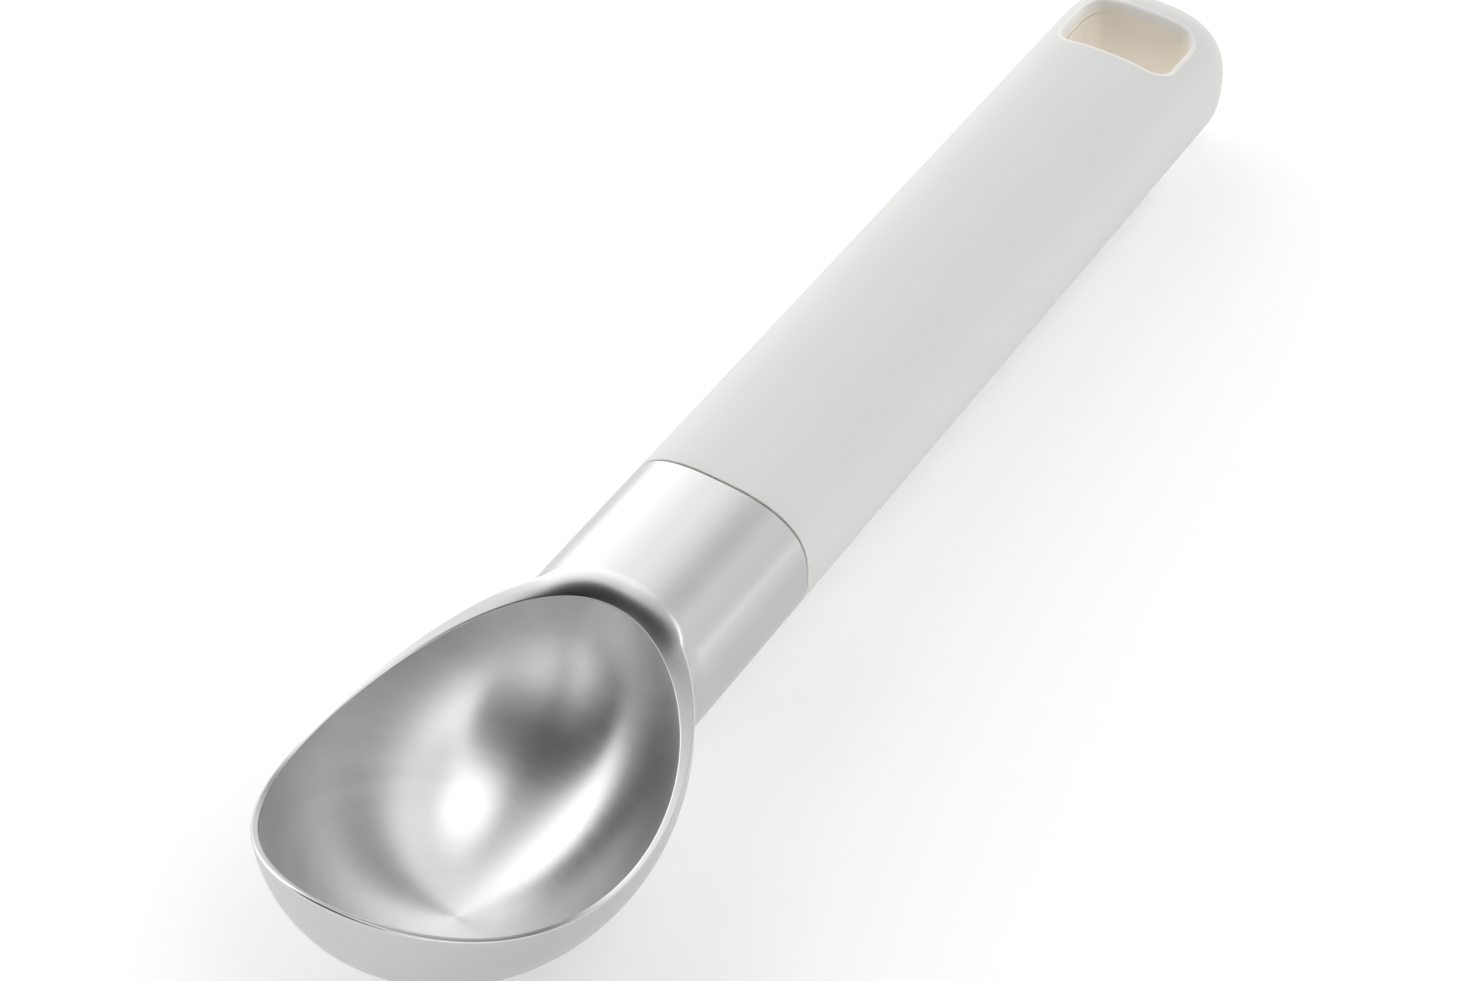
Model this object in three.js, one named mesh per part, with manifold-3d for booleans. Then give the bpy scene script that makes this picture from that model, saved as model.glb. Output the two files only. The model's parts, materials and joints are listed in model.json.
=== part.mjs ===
// Ice cream scoop: a cast bowl and neck on a tang, with a moulded core and an outer grip skin.
// Millimetres, +Z up. The scoop lies as it rests on a table, on the bowl's foot and the grip's far end.
// Inside the tilted group, X = 0 is the joint between neck and grip and +X runs along the grip.

import * as THREE from 'three';
import { mergeVertices } from 'three/addons/utils/BufferGeometryUtils.js';
import Module from 'manifold-3d';

const wasm = await Module();
wasm.setup();

// Clearance between pieces that seat in or on one another
const fitGap = 0.3;

// Grip: a rounded box section carried along X, closed by a rounded end
const gripWidth = 29;
const gripHeight = 22;
const sectionPower = 2.7;
const gripLength = 133;
const endRoundPlan = 10.2;
const endRoundSide = 8;
const endPower = 2.3;
const skinWall = 2.2;

// Hang hole through the grip's far end
const holeLength = 12;
const holeWidth = 19;
const holeCorner = 3.2;
const holeEdgeRound = 0.7;
const holeEndWall = 8.8;

// Neck, and the spigot of the core that plugs into it
const neckLength = 22.3;
const neckWall = 4.5;
const spigotLength = 6;
const neckRoot = 16;
const neckFillet = 3.5;
const neckFilletLeast = 0.2;

// Bowl: the rim is an ellipse in plan that dips along a circular arc in side view
const bowlLength = 66.1;
const bowlWidth = 48.8;
const rimDipRadius = 53;
const rimDipSetback = 28.6;
const rimDipHeight = 2.4;

// Foot of the bowl, below the grip's axis, with its own curvature along and across
const footSetback = 30.7;
const footDepth = 20;
const footRadiusAlong = 34.6;
const footRadiusAcross = 24.4;

// Walls of the bowl
const rimWallSide = 1;
const rimWallTip = 1.2;
const rimWallBack = 3;
const floorWall = 2;

// Tang, and the dowels that lock the core to it
const tangWidth = 12;
const tangThickness = 4;
const tangSeat = 14;
const tangEndRadius = 5;
const coreBridge = 15;
const pinDiameter = 3;
const pinInset = 26;
const pinRecess = 0.6;

// Seal ring round the spigot
const sealThickness = 1.2;

// Facets
const sectionSides = 48;
const endRows = 8;
const bowlSides = 60;
const bowlRows = 15;
const arcSteps = 40;
const pinSides = 24;
const edgeSteps = 4;

// How far a cutter runs past the face that it opens, and past the rim in wall angle
const cutMargin = 1;
const rimOverrun = 1.12;

// Limits of the numerical work
const mergeTolerance = 1e-4;
const halvings = 40;
const steepestTilt = Math.PI / 8;

// Places that follow from the sizes
const rimBackX = -neckLength;
const rimDipX = rimBackX - rimDipSetback;
const rimDipZ = rimDipHeight + rimDipRadius;
const footX = rimBackX - footSetback;
const skinFront = fitGap;
const sealFront = fitGap;
const coreFront = sealFront + sealThickness + fitGap;
const coreInset = skinWall + fitGap;
const spigotInset = neckWall + fitGap;
const holeFarX = gripLength - holeEndWall;
const holeCentreX = holeFarX - holeLength / 2;
const tangEnd = holeCentreX - holeLength / 2 - coreBridge;
const pinXs = [pinInset, tangEnd - pinInset];

// Turns a closed geometry into a solid for cutting and joining
function solid(geometry) {
  geometry.deleteAttribute('normal');
  geometry.deleteAttribute('uv');
  const merged = mergeVertices(geometry, mergeTolerance);
  const vertProperties = new Float32Array(merged.attributes.position.array);
  const triVerts = new Uint32Array(merged.index.array);
  return new wasm.Manifold(new wasm.Mesh({ numProp: 3, vertProperties, triVerts }));
}

// Turns a solid back into a geometry
function geometryOf(body) {
  const { vertProperties, triVerts } = body.getMesh();
  const geometry = new THREE.BufferGeometry();
  geometry.setAttribute('position', new THREE.BufferAttribute(vertProperties, 3));
  geometry.setIndex(new THREE.BufferAttribute(triVerts, 1));
  return geometry;
}

// The middle of a ring
function middleOf(ring) {
  const middle = new THREE.Vector3();
  ring.forEach((p) => middle.addScaledVector(p, 1 / ring.length));
  return middle;
}

// Skins a stack of rings, all with the same number of points, and closes each end on a tip
function skinRings(rings, firstTip = middleOf(rings[0]), lastTip = middleOf(rings.at(-1))) {
  const sides = rings[0].length;
  const positions = rings.flat().flatMap((p) => p.toArray());
  const index = [];
  for (let row = 0; row + 1 < rings.length; row += 1) {
    for (let side = 0; side < sides; side += 1) {
      const next = (side + 1) % sides;
      const [a, b] = [row * sides + side, row * sides + next];
      const [c, d] = [a + sides, b + sides];
      index.push(a, b, d, a, d, c);
    }
  }
  const firstIndex = positions.length / 3;
  const lastRing = (rings.length - 1) * sides;
  positions.push(...firstTip.toArray(), ...lastTip.toArray());
  for (let side = 0; side < sides; side += 1) {
    const next = (side + 1) % sides;
    index.push(firstIndex, next, side);
    index.push(firstIndex + 1, lastRing + side, lastRing + next);
  }
  const geometry = new THREE.BufferGeometry();
  geometry.setAttribute('position', new THREE.Float32BufferAttribute(positions, 3));
  geometry.setIndex(index);
  return geometry;
}

// A signed power, for superellipse coordinates
const signedPower = (value, power) => Math.sign(value) * Math.abs(value) ** power;

// Halves a span until it holds the place where a rising value turns positive
function turningPoint(low, high, value) {
  for (let step = 0; step < halvings; step += 1) {
    const middle = (low + high) / 2;
    if (value(middle) < 0) low = middle;
    else high = middle;
  }
  return low;
}

// One point of the grip's section, drawn in by an inset
function sectionPoint(side, inset) {
  const angle = (side / sectionSides) * 2 * Math.PI;
  const y = (gripWidth / 2 - inset) * signedPower(Math.cos(angle), 2 / sectionPower);
  const z = (gripHeight / 2 - inset) * signedPower(Math.sin(angle), 2 / sectionPower);
  return { y, z };
}

// A ring with one point for each side of the section
const ringOf = (place) => Array.from({ length: sectionSides }, (unused, side) => place(side));

// One ring of the grip's section at x, drawn in by an inset and scaled in y and z
function sectionRing(x, inset, scaleY = 1, scaleZ = 1) {
  return ringOf((side) => {
    const { y, z } = sectionPoint(side, inset);
    return new THREE.Vector3(x, y * scaleY, z * scaleZ);
  });
}

// A straight length of the section between two places along X
function sectionBar(fromX, toX, inset) {
  return solid(skinRings([sectionRing(fromX, inset), sectionRing(toX, inset)]));
}

// Share of the full section that is left at a distance from the rounded end
function endShare(distance, round) {
  const short = 1 - Math.min(distance / round, 1);
  return (1 - short ** endPower) ** (1 / endPower);
}

// The grip's form from one place to its rounded far end, drawn in by an inset
function gripForm(fromX, inset) {
  const [endX, plan, side] = [gripLength - inset, endRoundPlan - inset, endRoundSide - inset];
  const rings = [sectionRing(fromX, inset)];
  for (let row = 0; row < endRows; row += 1) {
    const distance = plan * (1 - Math.sin((row / endRows) * (Math.PI / 2)));
    rings.push(sectionRing(endX - distance, inset, endShare(distance, plan), endShare(distance, side)));
  }
  return solid(skinRings(rings, middleOf(rings[0]), new THREE.Vector3(endX, 0, 0)));
}

// Outline of the hang hole, grown by an offset
function holeOutline(grow) {
  const [halfX, halfY, corner] = [holeLength / 2 + grow, holeWidth / 2 + grow, holeCorner + grow];
  const outline = new THREE.Shape();
  outline.absarc(halfX - corner, halfY - corner, corner, 0, Math.PI / 2);
  outline.absarc(corner - halfX, halfY - corner, corner, Math.PI / 2, Math.PI);
  outline.absarc(corner - halfX, corner - halfY, corner, Math.PI, 1.5 * Math.PI);
  outline.absarc(halfX - corner, corner - halfY, corner, 1.5 * Math.PI, 2 * Math.PI);
  return outline.getPoints(edgeSteps).slice(0, -1);
}

// Height of the grip's top over a point in plan, away from its rounded end
function gripTop(y) {
  const across = Math.abs(y) / (gripWidth / 2);
  return (gripHeight / 2) * (1 - across ** sectionPower) ** (1 / sectionPower);
}

// A ring of the hole's outline, grown by an offset, with each point at its own height
function holeRing(grow, heightAt) {
  return holeOutline(grow).map((p) => new THREE.Vector3(holeCentreX + p.x, p.y, heightAt(p)));
}

// The hole's cutter for the skin: straight through, opening with a rounded edge at the top and the bottom
function holeWithRoundedMouths() {
  const mouth = [];
  for (let step = 0; step <= edgeSteps; step += 1) {
    const angle = (step / edgeSteps) * (Math.PI / 2);
    const grow = holeEdgeRound * (1 - Math.cos(angle));
    const drop = holeEdgeRound * (1 - Math.sin(angle));
    mouth.push({ grow, height: (p) => gripTop(p.y) - drop });
  }
  mouth.push({ grow: holeEdgeRound, height: () => gripHeight / 2 + cutMargin });
  const lower = mouth.toReversed().map(({ grow, height }) => holeRing(grow, (p) => -height(p)));
  const upper = mouth.map(({ grow, height }) => holeRing(grow, height));
  return solid(skinRings([...lower, ...upper]));
}

// The hole's straight cutter for the core
function plainHole() {
  return solid(skinRings([holeRing(0, () => -gripHeight), holeRing(0, () => gripHeight)]));
}

// The tang's flat form with its dowel holes, grown by an offset where it serves as a slot's cutter
function tangForm(grow, holes) {
  const [back, end] = [-tangSeat - grow, tangEnd + grow];
  const [half, corner] = [tangWidth / 2 + grow, tangEndRadius + grow];
  const shape = new THREE.Shape();
  shape.moveTo(back, -half);
  shape.lineTo(end - corner, -half);
  shape.absarc(end - corner, corner - half, corner, -Math.PI / 2, 0);
  shape.absarc(end - corner, half - corner, corner, 0, Math.PI / 2);
  shape.lineTo(back, half);
  const pinHole = (x) => new THREE.Path().absarc(x, 0, pinDiameter / 2 + fitGap, 0, 2 * Math.PI);
  if (holes) shape.holes = pinXs.map(pinHole);
  const depth = tangThickness + 2 * grow;
  return new THREE.ExtrudeGeometry(shape, { depth, bevelEnabled: false, curveSegments: pinSides / 2 })
    .translate(0, 0, -depth / 2);
}

// Height of the rim over the grip's axis at a place along X
const rimZ = (x) => rimDipZ - Math.sqrt(rimDipRadius ** 2 - (x - rimDipX) ** 2);

// Distance from the foot to an ellipse in plan, in a direction seen from above
function planReach(direction, centreX, halfX, halfY) {
  const [cos, sin] = [Math.cos(direction) / halfX, Math.sin(direction) / halfY];
  const offset = (footX - centreX) / halfX;
  const [a, b, c] = [cos * cos + sin * sin, offset * cos, offset * offset - 1];
  return (-b + Math.sqrt(b * b - a * c)) / a;
}

// One meridian of a bowl: an elliptic arc that leaves the foot level, with the foot's curvature in that
// direction, and passes through the rim
function meridian(direction, { backX, tipX, halfY, footZ, radiusAlong, radiusAcross }) {
  const [cos, sin] = [Math.cos(direction), Math.sin(direction)];
  const reach = planReach(direction, (backX + tipX) / 2, (backX - tipX) / 2, halfY);
  const rise = rimZ(footX + reach * cos) - footZ;
  const curvature = cos ** 2 / radiusAlong + sin ** 2 / radiusAcross;
  const rimAngle = Math.acos(reach ** 2 * curvature / rise - 1);
  const halfWidth = reach / Math.sin(rimAngle);
  const halfHeight = rise / (1 - Math.cos(rimAngle));
  return { cos, sin, rimAngle, halfWidth, halfHeight };
}

// A bowl's solid, in rings from its foot up to just past the rim
function bowlForm(bowl) {
  const rings = [];
  for (let row = 1; row <= bowlRows; row += 1) {
    const ring = [];
    for (let side = 0; side < bowlSides; side += 1) {
      const direction = (side / bowlSides) * 2 * Math.PI;
      const { cos, sin, rimAngle, halfWidth, halfHeight } = meridian(direction, bowl);
      const angle = rimAngle * rimOverrun * (row / bowlRows);
      const radius = halfWidth * Math.sin(angle);
      const height = halfHeight * (1 - Math.cos(angle));
      ring.push(new THREE.Vector3(footX + radius * cos, radius * sin, bowl.footZ + height));
    }
    rings.push(ring);
  }
  return solid(skinRings(rings, new THREE.Vector3(footX, 0, bowl.footZ)));
}

// Outside and inside of the bowl
const bowlOutside = {
  backX: rimBackX,
  tipX: rimBackX - bowlLength,
  halfY: bowlWidth / 2,
  footZ: -footDepth,
  radiusAlong: footRadiusAlong,
  radiusAcross: footRadiusAcross,
};
const bowlInside = {
  backX: rimBackX - rimWallBack,
  tipX: rimBackX - bowlLength + rimWallTip,
  halfY: bowlWidth / 2 - rimWallSide,
  footZ: floorWall - footDepth,
  radiusAlong: footRadiusAlong - floorWall,
  radiusAcross: footRadiusAcross - floorWall,
};

// How far a point lies outside the bowl, in shares of its half axes: below zero inside it
function bowlLevel(x, y, z) {
  const { halfWidth, halfHeight } = meridian(Math.atan2(y, x - footX), bowlOutside);
  const across = Math.hypot(x - footX, y) / halfWidth;
  const up = (z - bowlOutside.footZ) / halfHeight - 1;
  return Math.hypot(across, up) - 1;
}

// Where a line along X leaves the bowl's back
const bowlBackX = (y, z) => turningPoint(footX, 0, (x) => bowlLevel(x, y, z));

// The neck: the grip's section, filleted into the bowl's back as far as the rim above leaves room for it
function neckForm() {
  const filletAt = ringOf((side) => {
    const { y, z } = sectionPoint(side, 0);
    const room = rimZ(bowlBackX(y, z)) - z;
    return THREE.MathUtils.clamp(room, neckFilletLeast, neckFillet);
  });
  const flaredRing = (grow, standOff) => ringOf((side) => {
    const { y, z } = sectionPoint(side, -grow * filletAt[side]);
    return new THREE.Vector3(bowlBackX(y, z) + standOff(filletAt[side]), y, z);
  });
  const rings = [sectionRing(rimBackX - neckRoot, 0), flaredRing(1, () => -rimWallSide / 2)];
  for (let step = 0; step <= edgeSteps; step += 1) {
    const angle = (step / edgeSteps) * (Math.PI / 2);
    rings.push(flaredRing(1 - Math.sin(angle), (fillet) => fillet * (1 - Math.cos(angle))));
  }
  return solid(skinRings([...rings, sectionRing(0, 0)]));
}

// Everything above the rim's arc, as a prism twice as wide as the bowl, whichever way its walls lean
function mouthForm() {
  const tipX = rimBackX - bowlLength - cutMargin;
  const topZ = gripHeight + rimDipRadius;
  const start = Math.asin((tipX - rimDipX) / rimDipRadius);
  const end = Math.acos((rimDipZ - gripHeight) / rimDipRadius);
  const shape = new THREE.Shape();
  shape.absarc(rimDipX, rimDipZ, rimDipRadius, start - Math.PI / 2, end - Math.PI / 2);
  shape.lineTo(rimDipX + rimDipRadius * Math.sin(end), topZ);
  shape.lineTo(tipX, topZ);
  const depth = 2 * bowlWidth;
  return new THREE.ExtrudeGeometry(shape, { depth, bevelEnabled: false, curveSegments: arcSteps })
    .translate(0, 0, -depth / 2)
    .rotateX(Math.PI / 2);
}

// Bowl and neck in one casting, with sockets for the core's spigot and the tang
function headForm() {
  const spigotSocket = sectionBar(-spigotLength - fitGap, cutMargin, neckWall);
  return bowlForm(bowlOutside)
    .add(neckForm())
    .subtract(solid(mouthForm()))
    .subtract(bowlForm(bowlInside))
    .subtract(spigotSocket)
    .subtract(solid(tangForm(fitGap, false)));
}

// A dowel standing upright, grown by an offset where it serves as a cutter
function pinForm(x, length, grow) {
  return new THREE.CylinderGeometry(pinDiameter / 2 + grow, pinDiameter / 2 + grow, length, pinSides)
    .rotateX(Math.PI / 2)
    .translate(x, 0, 0);
}

// The core: the grip's form drawn in, with its spigot, hang hole, tang slot and dowel holes
function coreForm() {
  let core = gripForm(coreFront, coreInset)
    .add(sectionBar(-spigotLength, coreFront + cutMargin, spigotInset))
    .subtract(plainHole())
    .subtract(solid(tangForm(fitGap, false)));
  pinXs.forEach((x) => {
    core = core.subtract(solid(pinForm(x, gripHeight, fitGap)));
  });
  return core;
}

// The outer skin, open at the joint where the core goes in
function skinForm() {
  return gripForm(skinFront, 0)
    .subtract(gripForm(skinFront - cutMargin, skinWall))
    .subtract(holeWithRoundedMouths());
}

// The seal: a flat ring round the spigot, inside the skin's front edge
function sealForm() {
  const sealEnd = sealFront + sealThickness;
  const opening = sectionBar(sealFront - cutMargin, sealEnd + cutMargin, neckWall);
  return sectionBar(sealFront, sealEnd, coreInset).subtract(opening);
}

const satinSteel = new THREE.MeshStandardMaterial({ color: '#c9cacb', roughness: 0.32, metalness: 1 });
const plainSteel = new THREE.MeshStandardMaterial({ color: '#9a9c9f', roughness: 0.45, metalness: 1 });
const offWhitePlastic = new THREE.MeshStandardMaterial({ color: '#e6e5e1', roughness: 0.55, metalness: 0 });
const beigePlastic = new THREE.MeshStandardMaterial({ color: '#d6c5b3', roughness: 0.6, metalness: 0 });
const brownRubber = new THREE.MeshStandardMaterial({ color: '#6d6258', roughness: 0.8, metalness: 0 });

function piece(name, geometry, material) {
  const mesh = new THREE.Mesh(geometry, material);
  mesh.name = name;
  return mesh;
}

const pinLength = gripHeight - 2 * (coreInset + pinRecess);
const scoop = new THREE.Group();
scoop.add(
  piece('scoop_head', geometryOf(headForm()), satinSteel.clone()),
  piece('tang', tangForm(0, true), plainSteel.clone()),
  piece('core_pin_front', pinForm(pinXs[0], pinLength, 0), plainSteel.clone()),
  piece('core_pin_rear', pinForm(pinXs[1], pinLength, 0), plainSteel.clone()),
  piece('handle_core', geometryOf(coreForm()), beigePlastic.clone()),
  piece('joint_seal', geometryOf(sealForm()), brownRubber.clone()),
  piece('grip_skin', geometryOf(skinForm()), offWhitePlastic.clone()),
);

// Lowest point of a piece once the scoop is tilted about Y
function lowest(name, tilt) {
  const turned = scoop.getObjectByName(name).geometry.clone().rotateY(tilt);
  turned.computeBoundingBox();
  return turned.boundingBox.min.z;
}

// The tilt at which the bowl's foot and the grip's far end both touch the table
function restTilt() {
  return turningPoint(0, steepestTilt, (tilt) => lowest('scoop_head', tilt) - lowest('grip_skin', tilt));
}

// Stand the tilted scoop on Z = 0, with the middle of its box on the Z axis
scoop.rotation.y = restTilt();
const part = new THREE.Group();
part.add(scoop);
part.updateMatrixWorld(true);
const box = new THREE.Box3().setFromObject(part, true);
scoop.position.set(-(box.min.x + box.max.x) / 2, 0, -box.min.z);

export default part;
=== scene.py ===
"""Ice cream scoop: surfaces, finishes and stage.

Every surface is worked out with numpy in the scoop's own frame: X = 0 is the joint between neck and grip,
+X runs along the grip, and the grip's axis lies on Y = Z = 0. The function stand tilts the points into the
row's frame, where the scoop rests on the bowl's foot and the grip's far end.
"""

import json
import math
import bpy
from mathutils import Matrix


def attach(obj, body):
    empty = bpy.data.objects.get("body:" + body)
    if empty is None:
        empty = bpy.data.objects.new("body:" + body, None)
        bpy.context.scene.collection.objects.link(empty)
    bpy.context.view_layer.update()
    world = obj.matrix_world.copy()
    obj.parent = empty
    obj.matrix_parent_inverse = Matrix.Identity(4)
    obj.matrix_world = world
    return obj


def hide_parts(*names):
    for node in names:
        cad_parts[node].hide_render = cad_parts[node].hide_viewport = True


bl_info = {
    "name": "Ice cream scoop",
    "version": (1, 0, 0),
    "blender": (4, 5, 0),
    "location": "3D View > Sidebar > Scoop",
    "description": "Builds the surfaces, finishes and stage of an ice cream scoop, piece by piece",
    "category": "Object",
}

from collections import namedtuple

import bpy
import numpy as np
from mathutils import Matrix, Vector

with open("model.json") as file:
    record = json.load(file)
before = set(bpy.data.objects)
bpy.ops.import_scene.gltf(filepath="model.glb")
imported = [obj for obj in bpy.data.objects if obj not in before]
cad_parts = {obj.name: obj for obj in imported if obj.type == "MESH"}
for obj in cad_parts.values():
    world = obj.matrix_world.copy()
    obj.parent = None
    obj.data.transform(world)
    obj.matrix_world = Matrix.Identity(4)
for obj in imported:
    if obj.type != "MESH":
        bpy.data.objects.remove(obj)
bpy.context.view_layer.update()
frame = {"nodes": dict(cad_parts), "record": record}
HANG_WALL = next(mount for mount in frame["record"]["mounts"] if mount["name"] == "hang_wall")

# Fineness of the grids
GRIP_SIDES = 240
STRAIGHT_ROWS = 40
WINDOW_ROWS = 56
END_ROWS = 26
COLLAR_ROWS = 8
EDGE_ROWS = 6
TUBE_ROWS = 16
HEAD_SIDES = 300
SKIN_ROWS = 130
CAVITY_ROWS = 90
ROUND_ROWS = 8
FACE_ROWS = 10
SOLVER_STEPS = 44

# Samples for each column or row of a grid where an even spacing is worked out
COLUMN_SAMPLES = 40
ROW_SAMPLES = 2

# Angles between faces above which an edge is shaded sharp
SHARP_EDGE = math.radians(50)
HEAD_SHARP_EDGE = math.radians(35)

# End of the spine that the head's rings lean along, in metres behind the rim's tip and over the grip's
# axis, and the power by which the rings lean
SPINE_END_BACK = 0.012
SPINE_END_HEIGHT = 0.026
SPINE_LEAN_POWER = 1.5

# Part of the rim's circle that is used, and the least reach in metres of the blend between neck and bowl
RIM_ARC_PART = 0.98
LEAST_BLEND = 0.00005

# Directions from the neck between which the rim's outer edge grows rounder towards the tip
TIP_ROUND_START = math.radians(130)
TIP_ROUND_FULL = math.radians(165)

# Largest shares of the rim's face that its outer and its inner rounding take
OUTER_ROUND_MOST = 0.75
INNER_ROUND_MOST = 0.2

# Share of the way to the hang hole from which the core rises towards the skin
RISE_START = 0.5

# Keeps a division off zero
TINY = 1e-12

# Range that a noise mostly keeps to
NOISE_LOW = 0.3
NOISE_HIGH = 0.7

# Data type of a Mix node and the numbers of its first, last and result socket, by the socket that it feeds
MIX_SOCKETS = {"VALUE": ("FLOAT", 2, 3, 0), "RGBA": ("RGBA", 6, 7, 2)}

# Width of the camera's sensor in millimetres
SENSOR_WIDTH = 36.0

# Number of the head's second material
TURNED = 1


# Sizes and colours that a user may change

def metres(label, text, default):
    """A length in metres."""
    return bpy.props.FloatProperty(name=label, description=text, default=default, unit="LENGTH", precision=5)


def number(label, text, default):
    """A plain number."""
    return bpy.props.FloatProperty(name=label, description=text, default=default, precision=3)


def degrees(label, text, default):
    """An angle, given in degrees."""
    turn = math.radians(default)
    return bpy.props.FloatProperty(name=label, description=text, default=turn, subtype="ANGLE")


def tint(label, text, default):
    """A linear colour."""
    return bpy.props.FloatVectorProperty(
        name=label, description=text, default=default, size=3, subtype="COLOR", min=0.0, max=1.0
    )


def point(label, text, default):
    """A point in metres."""
    return bpy.props.FloatVectorProperty(
        name=label, description=text, default=default, size=3, subtype="TRANSLATION", unit="LENGTH"
    )


class ScoopGripSizes(bpy.types.PropertyGroup):
    """Sizes of the grip's skin and core."""

    width: metres("Width", "Width of the grip's section", 0.029)
    height: metres("Height", "Height of the grip's section", 0.022)
    section_power: number("Section power", "Power of the section's superellipse; 2 is an ellipse", 2.7)
    length: metres("Length", "Length from the joint to the rounded end", 0.133)
    end_round_plan: metres("End round in plan", "How far the end's rounding reaches back in plan", 0.0102)
    end_round_side: metres("End round in side view", "How far it reaches back in side view", 0.008)
    end_power: number("End power", "Power of the end's rounding; 2 is an ellipse", 2.3)
    skin_wall: metres("Skin wall", "Thickness of the outer skin", 0.0022)
    edge_round: metres("Edge round", "Rounding of the edges at the joint", 0.00025)
    gap: metres("Gap", "Clearance between neighbouring pieces", 0.0003)
    hole_length: metres("Hole length", "Length of the hang hole along the grip", 0.012)
    hole_width: metres("Hole width", "Width of the hang hole across the grip", 0.019)
    hole_corner: metres("Hole corner", "Corner radius of the hang hole", 0.0032)
    hole_edge_round: metres("Hole edge round", "Rounding of the hole's mouth", 0.0009)
    hole_end_wall: metres("Hole end wall", "From the hole to the grip's end", 0.0088)
    hole_gap: metres("Hole gap", "Clearance between skin and core along the hole's edge", 0.000005)
    # Over this length the painted highlight of the mouth's edge fades into the core's colour down the hole's
    # wall
    hole_fade: metres("Hole fade", "How far the outer colour reaches down the hole's wall", 0.0012)
    window_half: metres("Window", "Half width of the patch that is fitted round the hole", 0.0122)
    window_reach: metres("Window reach", "How far that patch reaches past the hole's mouth", 0.0024)


class ScoopHeadSizes(bpy.types.PropertyGroup):
    """Sizes of the bowl and neck."""

    neck_length: metres("Neck length", "From the joint to the back of the rim", 0.0223)
    neck_wall: metres("Neck wall", "Wall round the socket in the neck", 0.0045)
    neck_root: metres("Neck root", "How far the neck reaches into the bowl's form", 0.016)
    neck_blend: metres("Neck blend", "Reach of the blend between neck and bowl", 0.0024)
    bowl_length: metres("Bowl length", "Length of the rim in plan", 0.0661)
    bowl_width: metres("Bowl width", "Width of the rim in plan", 0.0488)
    rim_dip_radius: metres("Rim dip radius", "Radius of the rim's arc in side view", 0.053)
    rim_dip_setback: metres("Rim dip setback", "From the rim's back to its lowest place", 0.0286)
    rim_dip_height: metres("Rim dip height", "Lowest place of the rim over the grip's axis", 0.0024)
    foot_setback: metres("Foot setback", "From the rim's back to the bowl's foot", 0.0307)
    foot_depth: metres("Foot depth", "Depth of the foot below the grip's axis", 0.020)
    foot_radius_along: metres("Foot radius along", "Radius of the foot along the scoop", 0.0346)
    foot_radius_across: metres("Foot radius across", "Radius of the foot across the scoop", 0.0244)
    rim_wall_side: metres("Rim wall at the sides", "Width of the rim's face at the sides", 0.001)
    rim_wall_tip: metres("Rim wall at the tip", "Width of the rim's face at the tip", 0.0012)
    rim_wall_back: metres("Rim wall at the back", "Width of the rim's face at the neck", 0.003)
    floor_wall: metres("Floor wall", "Thickness of the bowl at its foot", 0.002)
    turn_setback: metres("Turning axis", "From the rim's back to the axis of the inside's lines", 0.0415)
    edge_inner: metres("Inner edge", "Rounding of the rim's inner edge", 0.0002)
    edge_side: metres("Outer edge", "Rounding of the rim's outer edge", 0.00045)
    edge_tip: metres("Outer edge at the tip", "Rounding of the rim's outer edge at the tip", 0.0011)
    lip_reach: number("Lip reach", "Share of its width over which the lip stays level at the neck", 0.6)
    lip_full: degrees("Lip", "Direction from the neck up to which the lip is full", 0)
    lip_end: degrees("Lip end", "Direction from the neck at which the lip has died out", 40)
    flare: metres("Flare", "How far the rim's outer edge stands out round the neck", 0.0006)
    flare_full: degrees("Flare full", "Direction from the neck up to which the flare is full", 8)
    flare_end: degrees("Flare end", "Direction from the neck at which the flare has died out", 70)


class ScoopInsideSizes(bpy.types.PropertyGroup):
    """Sizes of what the grip hides."""

    spigot_length: metres("Spigot length", "Length of the core's spigot in the neck", 0.006)
    seal_thickness: metres("Seal thickness", "Thickness of the seal ring", 0.0012)
    seal_round: metres("Seal round", "Rounding of the seal's edges", 0.0003)
    tang_width: metres("Tang width", "Width of the tang", 0.012)
    tang_thickness: metres("Tang thickness", "Thickness of the tang", 0.004)
    tang_seat: metres("Tang seat", "Depth of the tang's seat in the neck", 0.014)
    tang_corner: metres("Tang corner", "Corner radius at the tang's end", 0.005)
    core_bridge: metres("Core bridge", "Core between the tang's end and the hang hole", 0.015)


class ScoopColours(bpy.types.PropertyGroup):
    """Colours of the finishes."""

    metal: tint("Satin metal", "Colour of the bowl and neck", (0.57, 0.57, 0.575))
    metal_rim: tint("Polished rim", "Colour of the rim's polished edges", (0.62, 0.62, 0.625))
    # Bowl's inside: the same metal painted much brighter than the satin metal outside, painted light for the
    # light the hollow gathers
    metal_inside_painted_light: tint("Bowl's inside", "Colour of the bowl's inside", (0.84, 0.84, 0.845))
    grip: tint("Grip", "Colour of the outer skin", (0.775, 0.775, 0.755))
    # Painted highlight: a paler colour on the skin's rounded edges and the hole's mouth, standing in for
    # light on them
    grip_edge_highlight: tint("Grip edge", "Colour of the skin's thin edges", (0.90, 0.89, 0.86))
    core: tint("Core", "Colour of the core and of the hang hole's wall", (0.91, 0.865, 0.79))
    seal: tint("Seal", "Colour of the seal ring", (0.16, 0.125, 0.095))
    steel: tint("Hidden steel", "Colour of the tang and the dowels", (0.33, 0.335, 0.345))


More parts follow.
